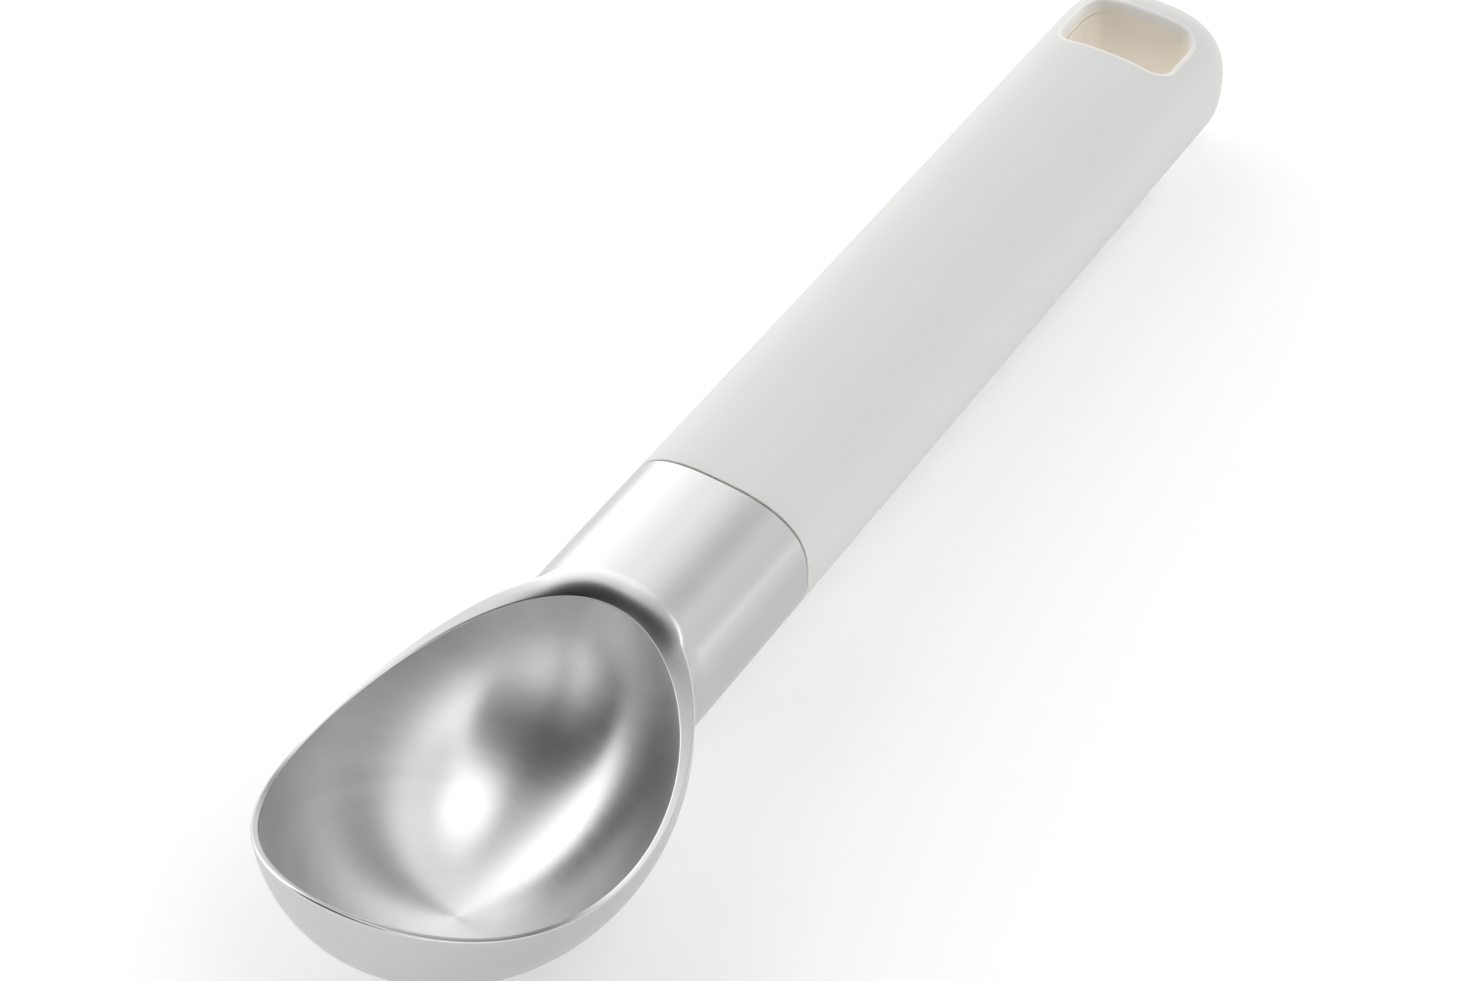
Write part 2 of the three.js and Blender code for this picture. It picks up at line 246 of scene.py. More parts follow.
class ScoopStage(bpy.types.PropertyGroup):
    """Camera, floor and light."""

    eye: point("Eye", "Where the camera stands", (-0.24013, -0.15563, 0.33435))
    aim: point("Aim", "What the middle of the picture shows", (-0.00941, 0.00628, 0.010))
    roll: degrees("Roll", "Turn of the camera about its view", -2.48)
    lens: bpy.props.FloatProperty(
        name="Lens", description=f"Focal length on a sensor {SENSOR_WIDTH:g} mm wide", default=73.0,
        subtype="DISTANCE_CAMERA",
    )
    floor_half: metres("Floor", "Half width of the floor", 4.0)
    floor_drop: metres("Floor drop", "How far the floor lies below the scoop", 0.00005)
    floor_colour: tint("Floor colour", "Colour of the floor", (0.85, 0.85, 0.85))
    floor_glow: number("Floor glow", "White added to the floor where it is seen", 0.33)
    room_light: number("Room light", "Level of the light all round", 0.64)
    hole_light: number("Hole light", "Level of the light under the hang hole", 0.95)


Shell = namedtuple("Shell", "back tip half_width foot_z along across")
Patch = namedtuple("Patch", "azimuth height inner outer stretch level")

# Soft patches of the room, in degrees: azimuth from +X towards +Y, height over the floor, the reach of the
# full level and of the fade, how many times wider than tall, and the level
FAR_SOFTBOX = Patch(72, 20, 10, 58, 1.8, 1.35)
NEAR_HIGH_SOFTBOX = Patch(-60, 66, 6, 24, 0.9, 1.3)
NEAR_SIDE_SOFTBOX = Patch(-125, 50, 5, 30, 1.0, 0.9)
NEAR_LOW_SOFTBOX = Patch(-104, 1, 9, 30, 2.4, 1.8)
NECK_LIGHT = Patch(-30, 27, 7, 30, 2.0, 0.35)
GRIP_END_SHADE = Patch(17, 3, 15, 34, 0.8, -1.6)
BOWL_END_SHADE = Patch(-170, 42, 35, 43, 1.5, -1.0)

# The patches that are added to the room's light; the shade beyond the bowl is multiplied into their sum
ADDED_PATCHES = (
    FAR_SOFTBOX, NEAR_HIGH_SOFTBOX, NEAR_SIDE_SOFTBOX, NEAR_LOW_SOFTBOX, NECK_LIGHT, GRIP_END_SHADE
)

# Heights over the floor, in degrees, up to which the room's foot is white and at which that has faded
SKIRT_FULL = 3
SKIRT_END = 10


# Gathering points and faces

class Surface:
    """Points and faces gathered patch by patch, so that patches share the points along their edges.

    Each point has two marks from 0 to 1 for the finishes: edge on rounded edges and the rim, and inner on
    the hang hole's wall. On the grip the edge mark paints a highlight; on the head it marks the polished
    rim. Each face has the number of its material.
    """

    def __init__(self):
        self.points = []
        self.faces = []
        self.finishes = []
        self.edges = []
        self.inners = []
        self.count = 0

    def place(self, grid, edge=0.0, inner=0.0):
        """Adds an array of points with their marks, and gives back their numbers."""
        grid = np.asarray(grid, float)
        shape = grid.shape[:-1]
        numbers = np.arange(self.count, self.count + math.prod(shape)).reshape(shape)
        self.points.append(grid.reshape(-1, 3))
        self.edges.append(np.broadcast_to(edge, shape).ravel())
        self.inners.append(np.broadcast_to(inner, shape).ravel())
        self.count += numbers.size
        return numbers

    def add_faces(self, faces, flip, finish):
        """Adds an array of faces, turned over if asked, with the number of their material."""
        self.faces.append(faces[:, ::-1] if flip else faces)
        self.finishes.append(np.full(len(faces), finish))

    def weave(self, numbers, keep=None, flip=False, finish=0):
        """Quads between neighbouring rows, closed round the columns. keep says which quads stay."""
        ahead = np.roll(numbers, -1, axis=1)
        quads = np.stack([numbers[:-1], ahead[:-1], ahead[1:], numbers[1:]], axis=-1)
        if keep is not None:
            quads = quads[keep]
        self.add_faces(quads.reshape(-1, 4), flip, finish)

    def close(self, ring, tip, flip=False, finish=0):
        """Triangles from a ring of points to one tip."""
        self.add_faces(np.stack([ring, np.roll(ring, -1), np.full_like(ring, tip)], axis=-1), flip, finish)

    def mesh(self, name, grip, sharp):
        """The mesh of all points that have faces, smooth but for edges sharper than an angle."""
        used = np.unique(np.concatenate([block.ravel() for block in self.faces]))
        renumber = np.zeros(self.count, int)
        renumber[used] = np.arange(len(used))
        faces = [face for block in self.faces for face in renumber[block].tolist()]
        mesh = bpy.data.meshes.new(name)
        mesh.from_pydata(stand(np.concatenate(self.points)[used], grip).tolist(), [], faces)
        for mark, values in (("edge", self.edges), ("inner", self.inners)):
            attribute = mesh.attributes.new(mark, "FLOAT", "POINT")
            attribute.data.foreach_set("value", np.concatenate(values)[used])
        mesh.polygons.foreach_set("material_index", np.concatenate(self.finishes))
        mesh.shade_smooth()
        mesh.set_sharp_from_angle(angle=sharp)
        mesh.validate()
        mesh.update()
        return mesh


def stand(points, grip):
    """Points of the scoop's own frame in the row's frame.

    The hang hole's end wall faces back along the grip. Its axis turned round is the grip's direction, the up
    direction is square to that in the XZ plane, and the joint lies back along the grip from the wall.
    """
    along = -np.array(HANG_WALL["axis"], float)
    along = along / np.linalg.norm(along)
    across = np.array([0.0, 1.0, 0.0])
    up = np.cross(along, across)
    joint = np.array(HANG_WALL["pos_m"], float) - along * (grip.length - grip.hole_end_wall)
    return joint + points @ np.stack([along, across, up])


def add_piece(scene, name, surface, materials, node, sharp=SHARP_EDGE):
    """Puts a surface in the scene as a piece that rides on the scoop and stands for its node."""
    mesh = surface.mesh(name, scene.scoop_grip, sharp)
    for material in materials:
        mesh.materials.append(material)
    piece = bpy.data.objects.new(name, mesh)
    bpy.context.collection.objects.link(piece)
    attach(piece, "root")
    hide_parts(node)


def smooth_step(value, low, high):
    """0 below low, 1 above high and 3t² - 2t³ between."""
    t = np.clip((value - low) / (high - low), 0.0, 1.0)
    return t * t * (3.0 - 2.0 * t)


def blend(first, last, share):
    """Points between two arrays of points, for an array of shares that becomes the first axis."""
    share = np.asarray(share).reshape(-1, *[1] * np.ndim(first))
    return first + (last - first) * share


def bend(first, corner, last, share):
    """Rows of a quadratic Bezier curve from first to last that leaves and arrives towards corner."""
    t = np.asarray(share)[..., None]
    return first * (1 - t) ** 2 + corner * 2 * t * (1 - t) + last * t**2


def ring_at(x, y, z):
    """A ring of points in the plane at x."""
    return np.stack([np.full_like(y, x), y, z], axis=-1)


def run_along(points):
    """Length run along each column of points, from its first row on."""
    step = np.linalg.norm(np.diff(points, axis=0), axis=-1)
    return np.concatenate([0 * step[:1], np.cumsum(step, axis=0)])


# The grip's form

def section(grip, count):
    """Evenly spaced points of the section, as shares of its half width and half height.

    The section is the superellipse |y/a|^n + |z/b|^n = 1, walked from +Y towards +Z.
    """
    angle = np.linspace(0.0, 2 * np.pi, COLUMN_SAMPLES * count + 1)
    power = 2.0 / grip.section_power
    y = np.sign(np.cos(angle)) * np.abs(np.cos(angle)) ** power
    z = np.sign(np.sin(angle)) * np.abs(np.sin(angle)) ** power
    step = np.hypot(np.diff(y) * grip.width, np.diff(z) * grip.height)
    run = np.concatenate([[0.0], np.cumsum(step)])
    even = np.arange(count) * run[-1] / count
    return np.interp(even, run, y), np.interp(even, run, z)


def section_ring(grip, x, inset):
    """One ring of the section at x, drawn in by an inset."""
    y, z = section(grip, GRIP_SIDES)
    return ring_at(x, (grip.width / 2 - inset) * y, (grip.height / 2 - inset) * z)


def end_share(distance, reach, power):
    """Share of the full size at a distance from the rounded end: (1 - (1 - d/r)^p)^(1/p)."""
    short = 1.0 - np.clip(distance / reach, 0.0, 1.0)
    return (1.0 - short**power) ** (1.0 / power)


def grip_halves(grip, x, inset):
    """Half width and half height of the grip's form at x, drawn in by an inset."""
    left = grip.length - inset - x
    share_y = end_share(left, grip.end_round_plan - inset, grip.end_power)
    share_z = end_share(left, grip.end_round_side - inset, grip.end_power)
    return (grip.width / 2 - inset) * share_y, (grip.height / 2 - inset) * share_z


def grip_height(grip, x, y, inset):
    """Height of the form over a point in plan: the section solved for z with the halves at x."""
    half_y, half_z = grip_halves(grip, x, inset)
    across = np.minimum(np.abs(y) / half_y, 1.0)
    return half_z * (1.0 - across**grip.section_power) ** (1.0 / grip.section_power)


def hole_span(grip):
    """Near and far end of the hang hole along X."""
    far = grip.length - grip.hole_end_wall
    return far - grip.hole_length, far


def hole_middle(grip):
    """Place of the hang hole's middle along X."""
    near, far = hole_span(grip)
    return (near + far) / 2


def grip_rows(grip, start, inset):
    """Places of the rings along X: even steps, closer ones round the hole, then a run into the round end."""
    near, far = hole_span(grip)
    reach = grip.hole_edge_round + grip.window_reach
    straight = np.linspace(start, near - reach, STRAIGHT_ROWS, endpoint=False)
    window = np.linspace(near - reach, far + reach, WINDOW_ROWS)
    sweep = np.sin(np.linspace(0.0, np.pi / 2, END_ROWS + 1)[1:-1])
    tip = grip.length - inset
    return np.concatenate([straight, window, window[-1] + (tip - window[-1]) * sweep])


def grip_grid(grip, start, inset):
    """Rings of the grip's form from a place along X to its rounded end, drawn in by an inset."""
    x = grip_rows(grip, start, inset)[:, None]
    y, z = section(grip, GRIP_SIDES)
    half_y, half_z = grip_halves(grip, x, inset)
    return np.stack([x + 0 * y, half_y * y, half_z * z], axis=-1)


def edge_rings(grip, x, inset, round_size):
    """Rings of a rounded front edge: a quarter circle from the front face out to the full section."""
    angle = np.linspace(0.0, np.pi / 2, EDGE_ROWS, endpoint=False)
    draw = inset + round_size * (1.0 - np.sin(angle))
    place_x = x + round_size * (1.0 - np.cos(angle))
    return np.stack([section_ring(grip, px, d) for px, d in zip(place_x, draw)])


def window_loop(grip, first_row):
    """Row and column numbers round the patch that the hole's mouth is fitted into, on the grip's top."""
    y, z = section(grip, GRIP_SIDES)
    columns = np.flatnonzero((z > 0) & (np.abs(y) * grip.width / 2 < grip.window_half))
    left, right = columns[0], columns[-1]
    low, high = first_row + STRAIGHT_ROWS, first_row + STRAIGHT_ROWS + WINDOW_ROWS - 1
    across, along = np.arange(left, right), np.arange(low, high)
    rows = [np.full_like(across, low), along, np.full_like(across, high), along[::-1] + 1]
    sides = [across, np.full_like(along, right), across[::-1] + 1, np.full_like(along, left)]
    return np.concatenate(rows), np.concatenate(sides)


def kept_quads(numbers, rows, sides):
    """Which quads of a grid stay once the patches on its top and bottom are taken out."""
    keep = np.ones((numbers.shape[0] - 1, numbers.shape[1]), bool)
    low, high, left, right = rows.min(), rows.max(), sides.min(), sides.max()
    keep[low:high, left:right] = False
    keep[low:high, numbers.shape[1] - right:numbers.shape[1] - left] = False
    return keep


def hole_ring(grip, angle, grow):
    """Plan points of the hole's outline, grown by an offset, in the directions of some angles.

    The outline is a rounded rectangle. A ray from its middle meets an end, a side or a corner's arc.
    """
    half_x, half_y = grip.hole_length / 2 + grow, grip.hole_width / 2 + grow
    corner = grip.hole_corner + grow
    cos, sin = np.abs(np.cos(angle)) + TINY, np.abs(np.sin(angle)) + TINY
    to_end, to_side = half_x / cos, half_y / sin
    middle_x, middle_y = half_x - corner, half_y - corner
    ahead = cos * middle_x + sin * middle_y
    to_arc = ahead + np.sqrt(np.maximum(ahead**2 - middle_x**2 - middle_y**2 + corner**2, 0.0))
    reach = np.where(to_side * cos <= middle_x, to_side, to_arc)
    reach = np.where(to_end * sin <= middle_y, to_end, reach)
    return np.stack([hole_middle(grip) + reach * np.cos(angle), reach * np.sin(angle)], axis=-1)


def hole_angles(grip, plan):
    """Directions of plan points, seen from the hole's middle."""
    return np.arctan2(plan[..., 1], plan[..., 0] - hole_middle(grip))


def on_form(grip, plan, inset, side, drop=0.0):
    """Plan points raised to the grip's form, on its top or its bottom, less a drop."""
    height = grip_height(grip, plan[..., 0], plan[..., 1], inset) - drop
    return np.concatenate([plan, side * height[..., None]], axis=-1)


# The grip's skin

def skin_surface(grip):
    """The skin: the grip's form outside, the same form drawn in by the wall inside, one rounded front edge,
    and two mouths. Each mouth runs from a patch of the outside over a quarter round into the hole, and
    from the hole's foot back to the same patch of the inside."""
    surface = Surface()
    front = grip.gap
    edge = edge_rings(grip, front, 0.0, grip.edge_round)
    outside = np.concatenate([edge, grip_grid(grip, front + grip.edge_round, 0.0)])
    inside = np.concatenate([edge, grip_grid(grip, front + grip.edge_round, grip.skin_wall)])
    inside[:EDGE_ROWS] = [section_ring(grip, x, grip.skin_wall) for x in edge[:, 0, 0]]
    # The front edge's rings carry the edge mark, which paints a highlight on them
    front_mark = np.concatenate([np.ones(EDGE_ROWS), np.zeros(len(outside) - EDGE_ROWS)])[:, None]
    outer = surface.place(outside, edge=front_mark)
    inner = surface.place(inside)
    rows, sides = window_loop(grip, EDGE_ROWS)
    keep = kept_quads(outer, rows, sides)
    surface.weave(outer, keep)
    surface.weave(inner, keep, flip=True)
    surface.weave(np.stack([inner[0], outer[0]]))
    for ring, inset, flip in ((outer[-1], 0.0, False), (inner[-1], grip.skin_wall, True)):
        tip = surface.place(np.array([grip.length - inset, 0.0, 0.0]))
        surface.close(ring, tip, flip)
    for side in (1, -1):
        columns = sides if side > 0 else -sides
        add_mouth(surface, grip, side, outer[rows, columns], inner[rows, columns])
    return surface


def add_mouth(surface, grip, side, outer_loop, inner_loop):
    """One mouth of the hole, from the loop of the skin's outside to the loop of its inside."""
    known = np.concatenate(surface.points)
    outer_plan, inner_plan = known[outer_loop, :2], known[inner_loop, :2]
    angle = hole_angles(grip, outer_plan)
    round_size = grip.hole_edge_round
    share = np.sin(np.linspace(0.0, np.pi / 2, COLLAR_ROWS + 1))[1:-1]
    patch = on_form(grip, blend(outer_plan, hole_ring(grip, angle, round_size), share), 0.0, side)
    turn = np.linspace(np.pi / 2, 0.0, EDGE_ROWS + 2)
    rounding = np.stack([
        on_form(grip, hole_ring(grip, angle, round_size * (1 - math.cos(a))), 0.0, side,
                round_size * (1 - math.sin(a)))
        for a in turn
    ])
    foot = hole_ring(grip, angle, 0.0)
    # The wall starts below the rounding, so the painted highlight of the edge fades into the core's colour
    # over hole_fade
    wall = on_form(grip, foot, 0.0, side, round_size + grip.hole_fade)
    share = np.linspace(0.0, 1.0, COLLAR_ROWS)[:-1]
    back = on_form(grip, blend(foot, inner_plan, share), grip.skin_wall, side)
    outer = surface.place(patch)
    # The mouth's rounding carries the edge mark, which paints a highlight on it
    edge = surface.place(rounding, edge=1.0)
    inner = surface.place(np.concatenate([wall[None], back]), inner=1.0)
    surface.weave(np.concatenate([outer_loop[None], outer, edge, inner, inner_loop[None]]), flip=side < 0)


# The core, the seal and the slots for the tang

def bar_ring(x, half_y, half_z, angle):
    """A ring of a rectangular slot at x: rays from its middle at some angles from +Y meet its walls."""
    reach = np.minimum(half_y / (np.abs(np.cos(angle)) + TINY), half_z / (np.abs(np.sin(angle)) + TINY))
    return ring_at(x, reach * np.cos(angle), reach * np.sin(angle))


def tang_slot(grip, inside):
    """Half width and half height of the slot that the tang fits in."""
    return inside.tang_width / 2 + grip.gap, inside.tang_thickness / 2 + grip.gap


def core_front(grip, inside):
    """Where the core's body starts, behind the seal."""
    return grip.gap + inside.seal_thickness + grip.gap


def core_surface(grip, head, inside):
    """The core: a slot for the tang that opens in the spigot's face, the spigot, a body that is the grip's
    form drawn in, and the hang hole's straight wall from the body's top to its bottom."""
    surface = Surface()
    inset = grip.skin_wall + grip.gap
    y, z = section(grip, GRIP_SIDES)
    angle = np.arctan2(z * grip.height, y * grip.width)
    near, _ = hole_span(grip)
    end = near - inside.core_bridge + grip.gap
    half_y, half_z = tang_slot(grip, inside)
    corner = inside.tang_corner + grip.gap
    turn = np.linspace(0.0, np.pi / 2, EDGE_ROWS)
    slot = [
        bar_ring(end - corner * (1 - math.cos(a)), half_y - corner * (1 - math.sin(a)), half_z, angle)
        for a in turn
    ]
    mouth_x, front = -inside.spigot_length, core_front(grip, inside)
    spigot_inset = head.neck_wall + grip.gap
    spigot = [
        bar_ring(mouth_x, half_y, half_z, angle),
        *edge_rings(grip, mouth_x, spigot_inset, grip.edge_round),
        section_ring(grip, mouth_x + grip.edge_round, spigot_inset),
        section_ring(grip, front, spigot_inset),
        *edge_rings(grip, front, inset, grip.edge_round),
    ]
    body = grip_grid(grip, front + grip.edge_round, inset)
    grid = np.concatenate([slot, spigot, body])
    numbers = surface.place(grid)
    rows, sides = window_loop(grip, len(slot) + len(spigot))
    surface.weave(numbers, kept_quads(numbers, rows, sides))
    surface.close(numbers[0], surface.place(np.array([end, 0.0, 0.0])), flip=True)
    surface.close(numbers[-1], surface.place(np.array([grip.length - inset, 0.0, 0.0])))
    add_tunnel(surface, grip, inset, grid[rows, sides], numbers[rows, sides], numbers[rows, -sides])
    return surface


def add_tunnel(surface, grip, inset, loop_points, top_loop, bottom_loop):
    """The hole's wall through the core: in from the top patch, straight down and out to the bottom patch.

    Round the hole the core's top and bottom rise, so that only a hairline is left between skin and core.
    """
    plan = loop_points[:, :2]
    ring = hole_ring(grip, hole_angles(grip, plan), 0.0)
    share = np.linspace(0.0, 1.0, COLLAR_ROWS + 1)[1:]
    lift = (grip.gap - grip.hole_gap) * smooth_step(share, RISE_START, 1.0)[:, None]
    top = on_form(grip, blend(plan, ring, share), inset, 1, -lift)
    bottom = on_form(grip, blend(plan, ring, share), inset, -1, -lift)
    wall = blend(top[-1], bottom[-1], np.linspace(0.0, 1.0, TUBE_ROWS)[1:-1])
    new = surface.place(np.concatenate([top, wall, bottom[::-1]]))
    surface.weave(np.concatenate([top_loop[None], new, bottom_loop[None]]))


def seal_surface(grip, head, inside):
    """The seal: a rectangle with rounded corners carried round the section, from the skin to the spigot."""
    surface = Surface()
    low, high = grip.gap, grip.gap + inside.seal_thickness
    outer, inner = grip.skin_wall + grip.gap, head.neck_wall
    size = inside.seal_round
    turn = np.linspace(0.0, np.pi / 2, EDGE_ROWS)
    corners = (
        (low, outer, np.pi), (high, outer, 1.5 * np.pi), (high, inner, 0.0), (low, inner, 0.5 * np.pi)
    )
    x, draw = [], []
    for corner_x, corner_draw, start in corners:
        middle_x = corner_x + size * (1 if corner_x == low else -1)
        middle_draw = corner_draw + size * (1 if corner_draw == outer else -1)
        x.append(middle_x + size * np.cos(start + turn))
        draw.append(middle_draw + size * np.sin(start + turn))
    rings = [section_ring(grip, px, d) for px, d in zip(np.concatenate(x), np.concatenate(draw))]
    numbers = surface.place(np.stack(rings))
    surface.weave(np.concatenate([numbers, numbers[:1]]))
    return surface


# The bowl and neck

def bowl_shells(head):
    """Outside and inside of the bowl, as the values that shape their meridians."""
    back = -head.neck_length
    tip = back - head.bowl_length
    half_width, wall = head.bowl_width / 2, head.floor_wall
    along, across = head.foot_radius_along, head.foot_radius_across
    outside = Shell(back, tip, half_width, -head.foot_depth, along, across)
    inside = Shell(
        back - head.rim_wall_back, tip + head.rim_wall_tip, half_width - head.rim_wall_side,
        wall - head.foot_depth, along - wall, across - wall,
    )
    return outside, inside


def foot_x(head):
    """Place of the bowl's foot along X."""
    return -head.neck_length - head.foot_setback


def rim_height(head, x):
    """Height of the rim's arc at x: its lowest place plus the rise of a circle."""
    away = x + head.neck_length + head.rim_dip_setback
    most = RIM_ARC_PART * head.rim_dip_radius
    away = np.clip(away, -most, most)
    return head.rim_dip_height + head.rim_dip_radius - np.sqrt(head.rim_dip_radius**2 - away**2)


def meridian(head, shell, direction):
    """Reach, rim angle, half width and half height of the bowl's meridians in some directions.

    A meridian is an elliptic arc. It leaves the foot level, with the foot's curvature in that direction, and
    passes through the rim, an ellipse in plan on the rim's arc. The curvature is cos²/along + sin²/across.
    """
    cos, sin = np.cos(direction), np.sin(direction)
    half_length = (shell.back - shell.tip) / 2
    offset = (foot_x(head) - (shell.back + shell.tip) / 2) / half_length
    share_x, share_y = cos / half_length, sin / shell.half_width
    a, b, c = share_x**2 + share_y**2, offset * share_x, offset**2 - 1.0
    reach = (-b + np.sqrt(b * b - a * c)) / a
    rise = rim_height(head, foot_x(head) + reach * cos) - shell.foot_z
    curvature = cos**2 / shell.along + sin**2 / shell.across
    rim_angle = np.arccos(reach**2 * curvature / rise - 1.0)
    return reach, rim_angle, reach / np.sin(rim_angle), rise / (1.0 - np.cos(rim_angle))


def meridian_points(head, shell, direction, share):
    """Points of the meridians, at shares of the rim angle that form the first axis."""
    _, rim_angle, half_width, half_height = meridian(head, shell, direction)
    angle = rim_angle * np.asarray(share)
    radius, rise = half_width * np.sin(angle), half_height * (1.0 - np.cos(angle))
    x, y = foot_x(head) + radius * np.cos(direction), radius * np.sin(direction)
    return np.stack([x, y, shell.foot_z + rise], axis=-1)


def casting_level(grip, head, points):
    """How far points lie outside the casting, about in metres: below zero inside it.

    Bowl and neck each give a level, and the smaller one counts. Where the two are about alike they are
    blended by a smooth minimum, n + (b - n)h - k h(1 - h), whose reach k dies out towards the rim.
    """
    x, y, z = points[..., 0], points[..., 1], points[..., 2]
    outside, _ = bowl_shells(head)
    direction = np.arctan2(y, x - foot_x(head))
    _, _, half_width, half_height = meridian(head, outside, direction)
    across, up = np.hypot(x - foot_x(head), y) / half_width, (z - outside.foot_z) / half_height - 1.0
    bowl = (np.hypot(across, up) - 1.0) * (head.foot_radius_along + head.foot_radius_across) / 2
    power = grip.section_power
    level = (np.abs(2 * y / grip.width) ** power + np.abs(2 * z / grip.height) ** power) ** (1 / power)
    neck = np.maximum((level - 1.0) * (grip.width + grip.height) / 4, -head.neck_length - head.neck_root - x)
    reach = np.clip(rim_height(head, x) - z, LEAST_BLEND, head.neck_blend)
    share = np.clip(0.5 + 0.5 * (neck - bowl) / reach, 0.0, 1.0)
    return neck + (bowl - neck) * share - reach * share * (1.0 - share)


def spine(head, s):
    """Middle points and up directions of the planes that cut the casting into rings.

    The spine runs from the joint into the bowl's hollow. Its planes start upright and lean by a power of s,
    until the last one passes through the tip of the rim.
    """
    outside, _ = bowl_shells(head)
    end = np.array([outside.tip + SPINE_END_BACK, 0.0, SPINE_END_HEIGHT])
    last_lean = np.arctan2(end[0] - outside.tip, end[2] - rim_height(head, outside.tip))
    lean = last_lean * s**SPINE_LEAN_POWER
    up = np.stack([np.sin(lean), 0 * lean, np.cos(lean)], axis=-1)
    return s[..., None] * end, up


def solve(low, high, value):
    """Halves spans until they hold the places where a rising value turns positive."""
    for _ in range(SOLVER_STEPS):
        middle = (low + high) / 2
        below = value(middle) < 0
        low, high = np.where(below, middle, low), np.where(below, high, middle)
    return low


def spine_place(head, points):
    """Place s along the spine, and angle from up, of the plane and ray that pass through some points."""
    def beyond(s):
        middle, up = spine(head, s)
        away = points - middle
        return away[:, 0] * up[:, 2] - away[:, 2] * up[:, 0]
    s = solve(np.zeros(len(points)), np.ones(len(points)), beyond)
    middle, up = spine(head, s)
    return s, np.arctan2(points[:, 1], ((points - middle) * up).sum(axis=-1))


def casting_points(grip, head, s, angle):
    """Points of the casting's outside on rays that leave the spine at s at an angle from up."""
    middle, up = spine(head, s)
    ray = np.cos(angle)[..., None] * up
    ray[..., 1] += np.sin(angle)
    far = np.full(s.shape, head.bowl_length)
    reach = solve(0 * far, far, lambda r: casting_level(grip, head, middle + r[..., None] * ray))
    return middle + reach[..., None] * ray


def even_rows(rows, count, end):
    """Shares along each column of a fine grid that cut it into even lengths, up to its end less a length."""
    run = run_along(rows)
    want = np.linspace(0.0, 1.0, count)[:, None] * (run[-1] - end)
    after = np.clip((run[:, None] <= want[None]).sum(axis=0), 1, len(run) - 1)
    low, high = np.take_along_axis(run, after - 1, 0), np.take_along_axis(run, after, 0)
    return (after - 1 + (want - low) / (high - low)) / (len(run) - 1), want


def head_directions(grip, head, count):
    """Directions of the columns, spread by the mean of their run of rim and their angle at the neck."""
    outside, _ = bowl_shells(head)
    half = np.linspace(0.0, np.pi, COLUMN_SAMPLES * count)
    rim = meridian_points(head, outside, half, 1.0)
    run = run_along(rim)
    _, angle = spine_place(head, rim)
    measure = run / run[-1] + angle / np.pi
    even = np.linspace(-1.0, 1.0, count, endpoint=False)
    return np.sign(even) * np.interp(np.abs(even) * measure[-1], measure, half)


def fade(direction, full, end):
    """1 up to one direction from the neck, 0 from another on and a smooth step between."""
    return 1.0 - smooth_step(np.abs(direction), full, end)


def head_surface(grip, head, inside):
    """The casting, as one grid of columns that run from the tang's seat to the bowl's inner foot: seat,
    socket, joint face, neck and outer wall, rounded outer edge, rim face, rounded inner edge, inner wall."""
    surface = Surface()
    outside, cavity = bowl_shells(head)
    direction = head_directions(grip, head, HEAD_SIDES)
    s, angle = spine_place(head, meridian_points(head, outside, direction, 1.0))
    flare = head.flare * fade(direction, head.flare_full, head.flare_end)
    outer_edge = rim_rounding(head, direction) + flare

    fine = np.linspace(0.0, 1.0, ROW_SAMPLES * SKIN_ROWS)[:, None]
    rough = casting_points(grip, head, fine * s, angle + 0 * fine)
    share, _ = even_rows(rough, SKIN_ROWS, outer_edge)
    share[0] = grip.edge_round / (head.neck_length + head.bowl_length)
    skin = casting_points(grip, head, share * s, angle + 0 * share)

    fine = np.linspace(1.0, 0.0, ROW_SAMPLES * CAVITY_ROWS)[:, None]
    fall, depth = even_rows(meridian_points(head, cavity, direction, fine), CAVITY_ROWS, 0.0)
    begin = 1.0 - head.edge_inner / depth[-1]
    wall = meridian_points(head, cavity, direction, (1.0 - fall[:-1]) * begin)
    outward = np.stack([np.cos(direction), np.sin(direction), 0 * direction], axis=-1)
    rim = rim_rows(head, direction, skin[-1], rough[-1] + flare[:, None] * outward, wall[0])

    socket = joint_rows(grip, head, inside, angle)
    numbers = np.concatenate([
        surface.place(socket), surface.place(skin), surface.place(rim, edge=1.0), surface.place(wall)
    ])
    surface.weave(numbers[:1 - len(wall)])
    surface.weave(numbers[-len(wall):], finish=TURNED)
    seat = surface.place(np.array([-inside.tang_seat - grip.gap, 0.0, 0.0]))
    foot = surface.place(np.array([foot_x(head), 0.0, cavity.foot_z]))
    surface.close(numbers[0], seat, flip=True)
    surface.close(numbers[-1], foot, finish=TURNED)
    return surface


def rim_rounding(head, direction):
    """Rounding of the rim's outer edge: small at the neck and the sides, larger at the tip."""
    tip = smooth_step(np.abs(direction), TIP_ROUND_START, TIP_ROUND_FULL)
    return head.edge_side + (head.edge_tip - head.edge_side) * tip


